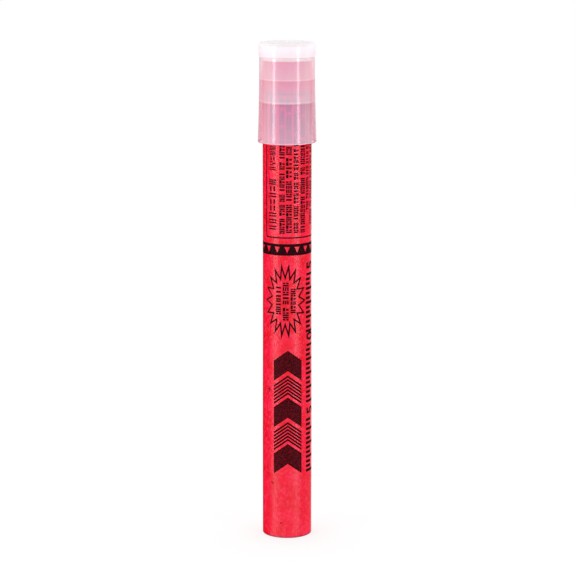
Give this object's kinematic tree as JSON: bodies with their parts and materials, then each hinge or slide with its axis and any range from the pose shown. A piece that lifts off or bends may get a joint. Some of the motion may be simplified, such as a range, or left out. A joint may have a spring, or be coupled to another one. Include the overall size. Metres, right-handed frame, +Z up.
{
  "type": "road flare",
  "caption": "Hand-held road flare: a waxed red paper tube with a rammed charge inside, and a translucent pull-off cap that carries the striker under a small snap lid.",
  "frame": {"origin": "centre of the foot, on the plane that the flare stands on", "axes": "+Z up along the flare's axis from the foot to the lid; -Y is the side that shows the middle of the print"},
  "size_m": [0.0268, 0.0268, 0.231],
  "materials": {
    "printed_wrap": "satin",
    "print_ink": "satin",
    "kraft_paper": "matte",
    "board": "matte",
    "clay": "matte",
    "charge_mix": "matte",
    "first_fire_mix": "matte",
    "igniter_mix": "matte",
    "cap_plastic": "satin",
    "lid_plastic": "satin",
    "striker_grit": "matte"
  },
  "bodies": {
    "case": {"outer_wrap": "printed_wrap", "casing_tube": "kraft_paper", "foot_disc": "board", "clay_plug": "clay", "plug_wad": "board", "charge_increment_1": "charge_mix", "charge_increment_2": "charge_mix", "charge_increment_3": "charge_mix", "charge_increment_4": "charge_mix", "charge_increment_5": "charge_mix", "first_fire": "first_fire_mix", "igniter_button": "igniter_mix"},
    "cap": {"cap_shell": "cap_plastic", "striker_board": "board", "striker_coat": "striker_grit"},
    "lid": {"lid": "lid_plastic"}
  },
  "joints": [
    {"name": "cap_pull", "type": "slide", "parent": "case", "child": "cap", "axis": [0, 0, 1], "range_m": [0, 0.06]},
    {"name": "lid_pull", "type": "slide", "parent": "cap", "child": "lid", "axis": [0, 0, 1], "range_m": [0, 0.03]}
  ]
}
